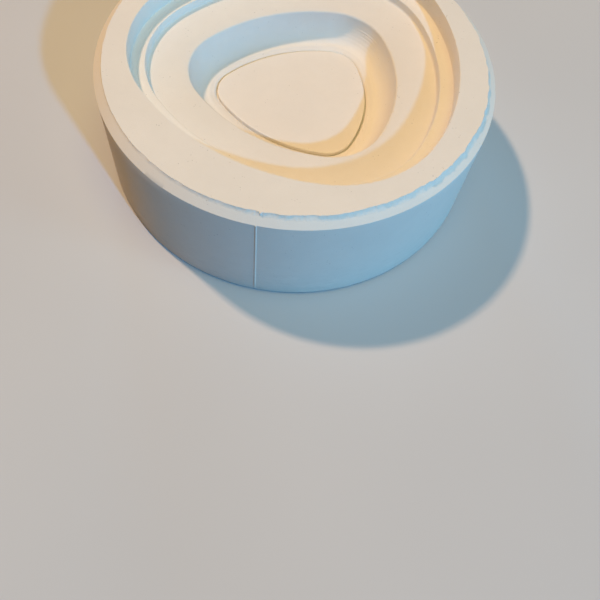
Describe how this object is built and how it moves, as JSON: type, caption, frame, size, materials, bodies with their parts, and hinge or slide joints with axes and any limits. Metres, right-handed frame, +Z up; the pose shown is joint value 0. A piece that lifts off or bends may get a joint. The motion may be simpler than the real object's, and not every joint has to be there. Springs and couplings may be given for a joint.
{
  "type": "plaster casting mold",
  "caption": "Round open plaster mold for slip casting a rimmed, rounded-triangle dish, with a loose plug that forms the dish's base.",
  "frame": {"origin": "middle of the flat face that the block rests on", "axes": "+Z up out of the cavity's mouth, -Y towards the casting seam in the outer wall, -X towards the dish's apex"},
  "size_m": [0.33, 0.33, 0.1115],
  "materials": {
    "plaster_block": "matte dry plaster",
    "plaster_plug": "matte dry plaster"
  },
  "bodies": {
    "block": {"mold_body": "plaster_block"},
    "plug": {"foot_plug": "plaster_plug"}
  },
  "joints": [
    {"name": "plug_lift", "type": "slide", "parent": "block", "child": "plug", "axis": [0, 0, 1], "range_m": [0, 0.1]}
  ]
}
